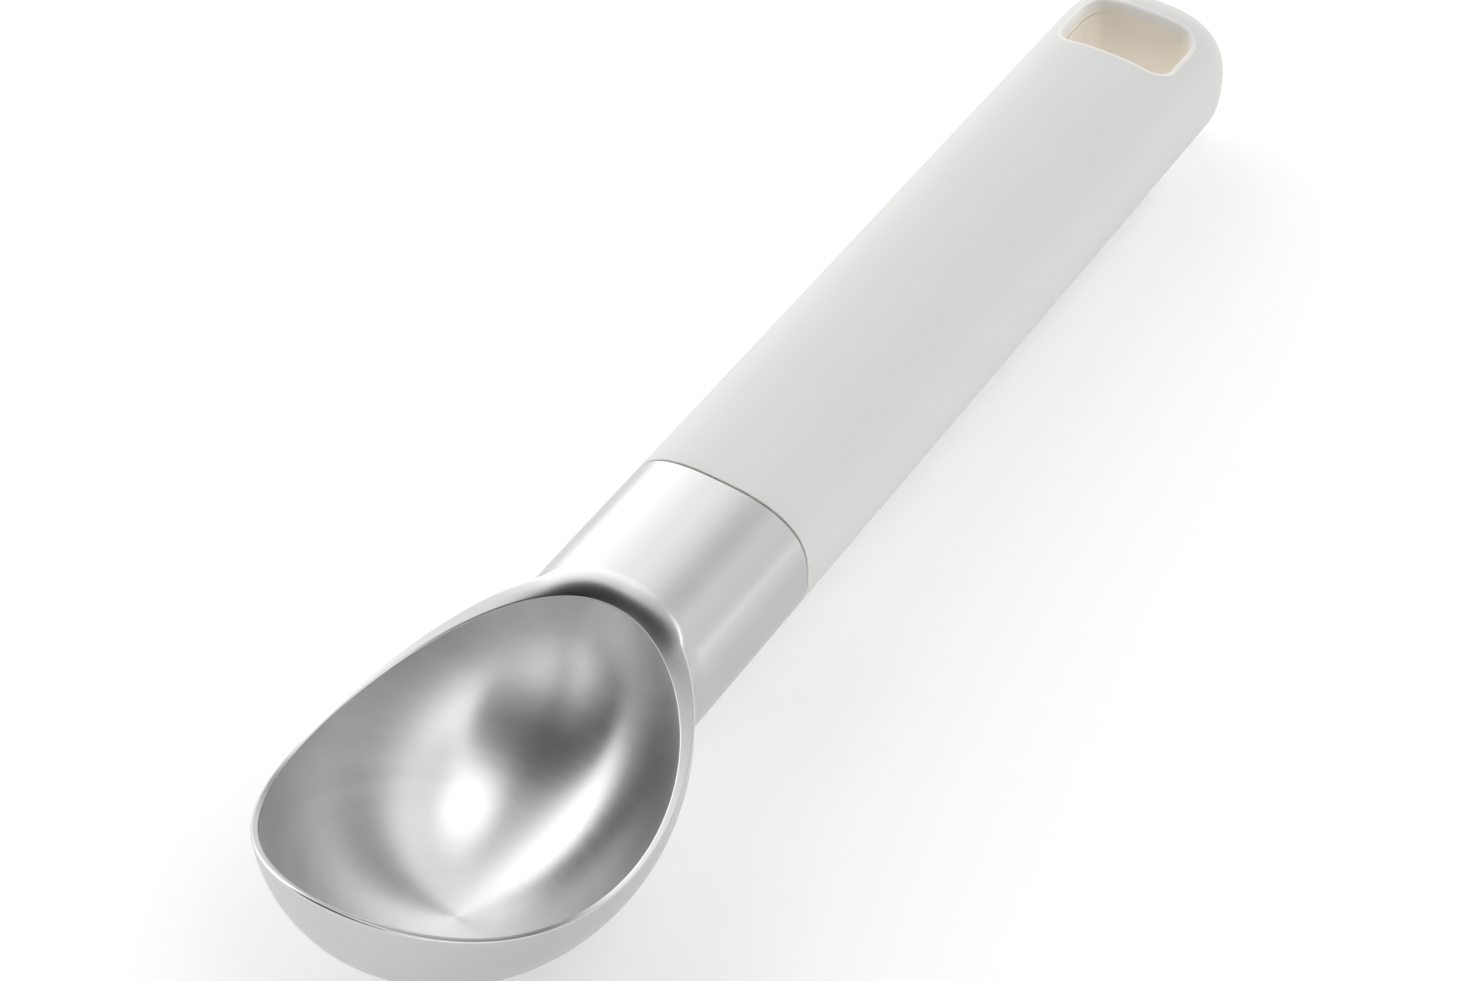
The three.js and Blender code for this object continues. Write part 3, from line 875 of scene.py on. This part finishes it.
def rim_rows(head, direction, skin_end, corner, wall_start):
    """Rows over the rim: rounded outer edge, face and rounded inner edge.

    The face is a Bezier curve from the outer corner to the inner one. Its middle control point lies on the
    straight line at the sides. At the neck it lies further in and level with the outer corner, so that the
    face leaves level there and ends steep.
    """
    _, cavity = bowl_shells(head)
    inner = meridian_points(head, cavity, direction, 1.0)
    lip = fade(direction, head.lip_full, head.lip_end)
    share = 0.5 + (head.lip_reach - 0.5) * lip
    middle = corner + (inner - corner) * share[:, None]
    middle[:, 2] += lip * share * (corner - inner)[:, 2]
    width = np.linalg.norm(inner - corner, axis=-1)
    begin = np.minimum(rim_rounding(head, direction) / width, OUTER_ROUND_MOST)
    end = 1.0 - np.minimum(head.edge_inner / width, INNER_ROUND_MOST)
    face = bend(corner, middle, inner, begin + (end - begin) * np.linspace(0.0, 1.0, FACE_ROWS)[:, None])
    turn = np.linspace(0.0, 1.0, ROUND_ROWS)[:, None]
    outer_round = bend(skin_end, corner, face[0], turn)[1:-1]
    inner_round = bend(face[-1], inner, wall_start, turn)[1:-1]
    return np.concatenate([outer_round, face, inner_round])


def joint_rows(grip, head, inside, angle):
    """Rings in the neck, at angles from up: the tang's seat, the socket and the joint face with its edge."""
    def neck_ring(x, inset):
        power = grip.section_power
        half_y, half_z = grip.width / 2 - inset, grip.height / 2 - inset
        level = np.abs(np.sin(angle) / half_y) ** power + np.abs(np.cos(angle) / half_z) ** power
        reach = level ** (-1 / power)
        return ring_at(x, reach * np.sin(angle), reach * np.cos(angle))
    from_side = np.pi / 2 - angle
    half_y, half_z = tang_slot(grip, inside)
    seat, floor = -inside.tang_seat - grip.gap, -inside.spigot_length - grip.gap
    size = grip.edge_round
    turn = np.linspace(0.0, np.pi / 2, EDGE_ROWS, endpoint=False)
    return np.stack([
        bar_ring(seat, half_y, half_z, from_side),
        bar_ring(floor, half_y, half_z, from_side),
        neck_ring(floor, head.neck_wall),
        neck_ring(0.0, head.neck_wall),
        *[neck_ring(-size * (1 - math.cos(a)), size * (1 - math.sin(a))) for a in turn],
    ])


# Finishes

def new_material(name):
    """A new node material, with its node tree and its Principled shader."""
    material = bpy.data.materials.new(name)
    material.use_nodes = True
    return material, material.node_tree, material.node_tree.nodes["Principled BSDF"]


def add_node(tree, kind, **values):
    """A node with some of its settings or inputs given by name."""
    node = tree.nodes.new(kind)
    for key, value in values.items():
        if key in node.bl_rna.properties:
            setattr(node, key, value)
        else:
            node.inputs[key.replace("_", " ")].default_value = value
    return node


def feed(tree, socket, value):
    """Feeds a socket from another socket or with a fixed value."""
    if isinstance(value, bpy.types.NodeSocket):
        tree.links.new(value, socket)
    else:
        socket.default_value = value


def maths(tree, operation, *values):
    """A sum, product or maximum of numbers that are fixed or come from other nodes."""
    node = add_node(tree, "ShaderNodeMath", operation=operation)
    for socket, value in zip(node.inputs, values):
        feed(tree, socket, value)
    return node.outputs["Value"]


def vector_maths(tree, operation, *values):
    """What a vector node makes of some vectors: a number for a length or a dot product, or else a vector."""
    node = add_node(tree, "ShaderNodeVectorMath", operation=operation)
    for socket, value in zip(node.inputs, values):
        feed(tree, socket, value)
    return node.outputs["Value" if operation in ("LENGTH", "DOT_PRODUCT") else "Vector"]


def remap(tree, value, low, high, to_low, to_high, interpolation="LINEAR"):
    """A value carried from one range to another, evenly or by a smooth step."""
    node = add_node(tree, "ShaderNodeMapRange", interpolation_type=interpolation)
    for socket, given in zip(node.inputs, (value, low, high, to_low, to_high)):
        feed(tree, socket, given)
    return node.outputs["Result"]


def mix_into(tree, socket, share, first, last):
    """Feeds a socket with a mix of two colours or numbers, by a share that changes over the surface."""
    data_type, first_input, last_input, result = MIX_SOCKETS[socket.type]
    node = add_node(tree, "ShaderNodeMix", data_type=data_type)
    for place, value in ((0, share), (first_input, first), (last_input, last)):
        feed(tree, node.inputs[place], value)
    feed(tree, socket, node.outputs[result])


def mix_over(tree, socket, mark, last):
    """Mixes a colour or number over what a socket receives, where one of the surface's marks is set."""
    share = add_node(tree, "ShaderNodeAttribute", attribute_name=mark).outputs["Fac"]
    mix_into(tree, socket, share, socket.links[0].from_socket, last)


def shade(tone, factor=1.0):
    """A colour with its alpha, made lighter or darker."""
    return (*(min(1.0, channel * factor) for channel in tone), 1.0)


def grain_group():
    """Node group of a fine grain: two sizes of noise on Object coordinates.

    Height is the grain itself, for bump. Mottle is a broad soft noise from 0 to 1, for colour and roughness.
    """
    name = "moulded grain"
    if name in bpy.data.node_groups:
        return bpy.data.node_groups[name]
    tree = bpy.data.node_groups.new(name, "ShaderNodeTree")
    tree.interface.new_socket("Vector", in_out="INPUT", socket_type="NodeSocketVector")
    for side, labels in (("INPUT", ("Grain Scale", "Mottle Scale")), ("OUTPUT", ("Height", "Mottle"))):
        for label in labels:
            tree.interface.new_socket(label, in_out=side, socket_type="NodeSocketFloat")
    source, result = tree.nodes.new("NodeGroupInput"), tree.nodes.new("NodeGroupOutput")
    grain = add_node(tree, "ShaderNodeTexNoise", Detail=3.0, Roughness=0.55)
    mottle = add_node(tree, "ShaderNodeTexNoise", Detail=2.0, Roughness=0.5)
    for noise, scale, output in ((grain, "Grain Scale", "Height"), (mottle, "Mottle Scale", "Mottle")):
        tree.links.new(source.outputs["Vector"], noise.inputs["Vector"])
        tree.links.new(source.outputs[scale], noise.inputs["Scale"])
        tree.links.new(noise.outputs["Fac"], result.inputs[output])
    return tree


def new_finish(name, grain, mottle, bump, depth=0.0001):
    """A new material with bump from the fine grain, given the scales of grain and mottle.

    It gives back the material, its node tree, its shader and the mottle.
    """
    material, tree, shader = new_material(name)
    noise = add_node(
        tree, "ShaderNodeGroup", node_tree=grain_group(), Grain_Scale=grain, Mottle_Scale=mottle
    )
    tree.links.new(tree.nodes.new("ShaderNodeTexCoord").outputs["Object"], noise.inputs["Vector"])
    relief = add_node(tree, "ShaderNodeBump", Strength=bump, Distance=depth)
    tree.links.new(noise.outputs["Height"], relief.inputs["Height"])
    tree.links.new(relief.outputs["Normal"], shader.inputs["Normal"])
    return material, tree, shader, noise.outputs["Mottle"]


def vary(tree, shader, pattern, tone, dark, light, smooth, rough):
    """Colour and roughness that follow a pattern: a tone times dark to light, and smooth to rough."""
    mix_into(tree, shader.inputs["Base Color"], pattern, shade(tone, dark), shade(tone, light))
    roughness = remap(tree, pattern, NOISE_LOW, NOISE_HIGH, smooth, rough)
    tree.links.new(roughness, shader.inputs["Roughness"])


def satin_metal(colours):
    """Satin casting: a fine blasted grain, and a smoother and brighter rim where it was polished."""
    material, tree, shader, mottle = new_finish(
        "satin metal", grain=2600.0, mottle=90.0, bump=0.06, depth=0.00012
    )
    shader.inputs["Metallic"].default_value = 1.0
    vary(tree, shader, mottle, colours.metal, dark=0.97, light=1.03, smooth=0.3, rough=0.34)
    mix_over(tree, shader.inputs["Base Color"], "edge", shade(colours.metal_rim))
    mix_over(tree, shader.inputs["Roughness"], "edge", 0.28)
    return material


def turned_metal(colours, middle):
    """The bowl's inside: metal with fine lines turned round an upright axis through a middle point, its
    colour painted brighter than the satin metal as painted light for the light the hollow gathers.

    The lines are a noise of the distance from that axis. They spread a reflection across themselves, so the
    tangent runs round the axis and the anisotropy is turned from it by a quarter.
    """
    material, tree, shader, _ = new_finish(
        "turned metal", grain=2600.0, mottle=90.0, bump=0.05, depth=0.00012
    )
    shader.inputs["Metallic"].default_value = 1.0
    shader.inputs["Anisotropic"].default_value = 0.75
    shader.inputs["Anisotropic Rotation"].default_value = 0.25
    place = tree.nodes.new("ShaderNodeTexCoord").outputs["Object"]
    away = vector_maths(tree, "SUBTRACT", place, middle)
    around = vector_maths(tree, "CROSS_PRODUCT", (0.0, 0.0, 1.0), away)
    tree.links.new(around, shader.inputs["Tangent"])
    noise = add_node(
        tree, "ShaderNodeTexNoise", noise_dimensions="1D", Scale=700.0, Detail=1.0, Roughness=0.5
    )
    tree.links.new(vector_maths(tree, "LENGTH", around), noise.inputs["W"])
    # The tone is the inside's brightened colour: painted light
    lines, tone = noise.outputs["Fac"], colours.metal_inside_painted_light
    vary(tree, shader, lines, tone, dark=0.97, light=1.03, smooth=0.3, rough=0.32)
    return material


def grip_plastic(colours):
    """Off-white matte plastic: a fine moulded grain, slight mottling, a painted highlight that makes the
    thin edges paler than the skin, and the core's warm colour on the hang hole's wall."""
    material, tree, shader, mottle = new_finish("grip plastic", grain=3200.0, mottle=55.0, bump=0.12)
    shader.inputs["IOR"].default_value = 1.46
    vary(tree, shader, mottle, colours.grip, dark=0.985, light=1.015, smooth=0.52, rough=0.58)
    mix_over(tree, shader.inputs["Base Color"], "inner", shade(colours.core))
    # Painted highlight: where the edge mark is set, the skin gets the paler highlight colour
    mix_over(tree, shader.inputs["Base Color"], "edge", shade(colours.grip_edge_highlight))
    return material


def core_plastic(colours):
    """Warm beige moulding: a soft mottle and a fine grain."""
    material, tree, shader, mottle = new_finish("core plastic", grain=2400.0, mottle=120.0, bump=0.15)
    vary(tree, shader, mottle, colours.core, dark=0.96, light=1.04, smooth=0.55, rough=0.65)
    return material


def seal_rubber(colours):
    """Brown-grey rubber: a dull grain."""
    material, tree, shader, mottle = new_finish("seal rubber", grain=4000.0, mottle=200.0, bump=0.2)
    vary(tree, shader, mottle, colours.seal, dark=0.85, light=1.15, smooth=0.75, rough=0.9)
    return material


def plain_steel(colours):
    """Plain mill steel for the pieces that the grip hides."""
    material, tree, shader, mottle = new_finish("plain steel", grain=1800.0, mottle=150.0, bump=0.1)
    shader.inputs["Metallic"].default_value = 1.0
    vary(tree, shader, mottle, colours.steel, dark=0.85, light=1.1, smooth=0.38, rough=0.5)
    return material


# Stage

def floor_material(stage):
    """White floor: diffuse, so that it keeps the shadow, with a white glow only where it is seen."""
    material, tree, shader = new_material("floor")
    tree.nodes.remove(shader)
    path = tree.nodes.new("ShaderNodeLightPath").outputs
    seen = maths(tree, "MAXIMUM", path["Is Camera Ray"], path["Is Glossy Ray"])
    seen = maths(tree, "MAXIMUM", seen, path["Is Transmission Ray"])
    paint = add_node(tree, "ShaderNodeBsdfDiffuse", Color=shade(stage.floor_colour))
    glow = add_node(tree, "ShaderNodeEmission", Color=(1.0, 1.0, 1.0, 1.0))
    tree.links.new(maths(tree, "MULTIPLY", seen, stage.floor_glow), glow.inputs["Strength"])
    both = tree.nodes.new("ShaderNodeAddShader")
    for socket, layer in zip(both.inputs, (paint, glow)):
        tree.links.new(layer.outputs[0], socket)
    tree.links.new(both.outputs[0], tree.nodes["Material Output"].inputs["Surface"])
    return material


def add_patch(tree, direction, patch):
    """Level of one patch: 0 outside its fade, its full level inside its reach and a smooth step between.

    Directions are turned back by the azimuth and narrowed by the stretch before their angle is measured.
    """
    height, inner, outer = (math.radians(turn) for turn in (patch.height, patch.inner, patch.outer))
    turned = add_node(
        tree, "ShaderNodeMapping", vector_type="TEXTURE",
        Rotation=(0.0, 0.0, math.radians(patch.azimuth)), Scale=(1.0, patch.stretch, 1.0),
    )
    tree.links.new(direction, turned.inputs["Vector"])
    unit = vector_maths(tree, "NORMALIZE", turned.outputs["Vector"])
    facing = vector_maths(tree, "DOT_PRODUCT", unit, (math.cos(height), 0.0, math.sin(height)))
    return remap(tree, facing, math.cos(outer), math.cos(inner), 0.0, patch.level, "SMOOTHSTEP")


def room_world(stage):
    """The room: even light, softboxes on both sides of the scoop, shade beyond the bowl and the grip's end,
    and a white band along its foot, so that low views have a pale background."""
    world = bpy.data.worlds.new("room")
    world.use_nodes = True
    tree = world.node_tree
    direction = tree.nodes.new("ShaderNodeTexCoord").outputs["Generated"]
    level = stage.room_light
    for patch in ADDED_PATCHES:
        level = maths(tree, "ADD", add_patch(tree, direction, patch), level)
    level = maths(tree, "MAXIMUM", level, 0.0)
    open_side = maths(tree, "ADD", add_patch(tree, direction, BOWL_END_SHADE), 1.0)
    level = maths(tree, "MULTIPLY", level, open_side)
    height = tree.nodes.new("ShaderNodeSeparateXYZ")
    tree.links.new(direction, height.inputs[0])
    low, high = math.sin(math.radians(SKIRT_FULL)), math.sin(math.radians(SKIRT_END))
    skirt = remap(tree, height.outputs["Z"], low, high, 1.0, 0.0)
    tree.links.new(maths(tree, "MAXIMUM", level, skirt), tree.nodes["Background"].inputs["Color"])
    bpy.context.scene.world = world


def add_hole_light(grip, stage):
    """A small lamp on the floor under the hang hole, which lights its wall as a bright table does."""
    lamp = bpy.data.lights.new("hole light", "AREA")
    lamp.shape = "RECTANGLE"
    lamp.size, lamp.size_y = grip.hole_length, grip.hole_width
    lamp.energy = stage.hole_light * lamp.size * lamp.size_y * math.pi
    holder = bpy.data.objects.new("hole light", lamp)
    middle = stand(np.array([hole_middle(grip), 0.0, 0.0]), grip)
    holder.matrix_world = Matrix.Translation((middle[0], 0.0, 0.0)) @ Matrix.Rotation(math.pi, 4, "X")
    bpy.context.collection.objects.link(holder)


def add_camera(stage):
    """The camera at the photograph's angle: it looks from eye to aim and turns about that line."""
    camera = bpy.data.cameras.new("camera")
    camera.sensor_width = SENSOR_WIDTH
    camera.sensor_fit = "HORIZONTAL"
    camera.lens = stage.lens
    camera.clip_start = 0.01
    holder = bpy.data.objects.new("camera", camera)
    eye, aim = Vector(stage.eye), Vector(stage.aim)
    facing = (aim - eye).to_track_quat("-Z", "Y").to_matrix().to_4x4()
    holder.matrix_world = Matrix.Translation(eye) @ facing @ Matrix.Rotation(stage.roll, 4, "Z")
    bpy.context.collection.objects.link(holder)
    bpy.context.scene.camera = holder


# Operators

class SCOOP_OT_head(bpy.types.Operator):
    """Builds the satin metal bowl and neck"""

    bl_idname = "scoop.head"
    bl_label = "Bowl and neck"

    def execute(self, context):
        scene = context.scene
        grip, head, colours = scene.scoop_grip, scene.scoop_head, scene.scoop_colours
        surface = head_surface(grip, head, scene.scoop_inside)
        axis = stand(np.array([-head.neck_length - head.turn_setback, 0.0, 0.0]), grip)
        finishes = satin_metal(colours), turned_metal(colours, axis)
        add_piece(scene, "scoop_head_skin", surface, finishes, "scoop_head", HEAD_SHARP_EDGE)
        return {"FINISHED"}


class SCOOP_OT_grip(bpy.types.Operator):
    """Builds the grip's outer skin"""

    bl_idname = "scoop.grip"
    bl_label = "Grip skin"

    def execute(self, context):
        scene = context.scene
        surface, finish = skin_surface(scene.scoop_grip), grip_plastic(scene.scoop_colours)
        add_piece(scene, "grip_outer_skin", surface, [finish], "grip_skin")
        return {"FINISHED"}


class SCOOP_OT_core(bpy.types.Operator):
    """Builds the core that shows inside the hang hole"""

    bl_idname = "scoop.core"
    bl_label = "Handle core"

    def execute(self, context):
        scene = context.scene
        surface = core_surface(scene.scoop_grip, scene.scoop_head, scene.scoop_inside)
        finish = core_plastic(scene.scoop_colours)
        add_piece(scene, "handle_core_body", surface, [finish], "handle_core")
        return {"FINISHED"}


class SCOOP_OT_seal(bpy.types.Operator):
    """Builds the seal ring behind the joint line"""

    bl_idname = "scoop.seal"
    bl_label = "Joint seal"

    def execute(self, context):
        scene = context.scene
        surface = seal_surface(scene.scoop_grip, scene.scoop_head, scene.scoop_inside)
        finish = seal_rubber(scene.scoop_colours)
        add_piece(scene, "joint_seal_ring", surface, [finish], "joint_seal")
        return {"FINISHED"}


class SCOOP_OT_steel(bpy.types.Operator):
    """Gives the tang and the dowels their finish"""

    bl_idname = "scoop.steel"
    bl_label = "Tang and dowels"

    def execute(self, context):
        steel = plain_steel(context.scene.scoop_colours)
        for name in ("tang", "core_pin_front", "core_pin_rear"):
            mesh = frame["nodes"][name].data
            mesh.materials.clear()
            mesh.materials.append(steel)
        return {"FINISHED"}


class SCOOP_OT_stage(bpy.types.Operator):
    """Builds the floor, the light and the camera"""

    bl_idname = "scoop.stage"
    bl_label = "Stage"

    def execute(self, context):
        stage = context.scene.scoop_stage
        half, low = stage.floor_half, -stage.floor_drop
        mesh = bpy.data.meshes.new("floor")
        corners = [(-half, -half, low), (half, -half, low), (half, half, low), (-half, half, low)]
        mesh.from_pydata(corners, [], [(0, 1, 2, 3)])
        mesh.materials.append(floor_material(stage))
        floor = bpy.data.objects.new("floor", mesh)
        context.collection.objects.link(floor)
        room_world(stage)
        add_hole_light(context.scene.scoop_grip, stage)
        add_camera(stage)
        context.scene.view_settings.view_transform = "Standard"
        return {"FINISHED"}


class SCOOP_PT_panel(bpy.types.Panel):
    """Lists the scoop's pieces, sizes and colours"""

    bl_idname = "SCOOP_PT_panel"
    bl_label = "Ice cream scoop"
    bl_space_type = "VIEW_3D"
    bl_region_type = "UI"
    bl_category = "Scoop"

    def draw(self, context):
        layout = self.layout
        for operator in OPERATORS:
            layout.operator(operator.bl_idname)
        for group in SETTINGS:
            settings = getattr(context.scene, group)
            box = layout.box()
            for name in settings.bl_rna.properties.keys():
                if name not in ("rna_type", "name"):
                    box.prop(settings, name)


OPERATORS = (SCOOP_OT_head, SCOOP_OT_grip, SCOOP_OT_core, SCOOP_OT_seal, SCOOP_OT_steel, SCOOP_OT_stage)
SETTINGS = {
    "scoop_grip": ScoopGripSizes,
    "scoop_head": ScoopHeadSizes,
    "scoop_inside": ScoopInsideSizes,
    "scoop_colours": ScoopColours,
    "scoop_stage": ScoopStage,
}


def register():
    """Registers the classes and puts the settings on the scene."""
    for kind in (*SETTINGS.values(), *OPERATORS, SCOOP_PT_panel):
        bpy.utils.register_class(kind)
    for name, kind in SETTINGS.items():
        setattr(bpy.types.Scene, name, bpy.props.PointerProperty(type=kind))


def unregister():
    """Takes the settings and the classes away again."""
    for name in SETTINGS:
        delattr(bpy.types.Scene, name)
    for kind in reversed((*SETTINGS.values(), *OPERATORS, SCOOP_PT_panel)):
        bpy.utils.unregister_class(kind)


def main():
    """Builds every piece and the stage."""
    register()
    bpy.ops.scoop.head()
    bpy.ops.scoop.grip()
    bpy.ops.scoop.core()
    bpy.ops.scoop.seal()
    bpy.ops.scoop.steel()
    bpy.ops.scoop.stage()


if __name__ == "__main__":
    main()
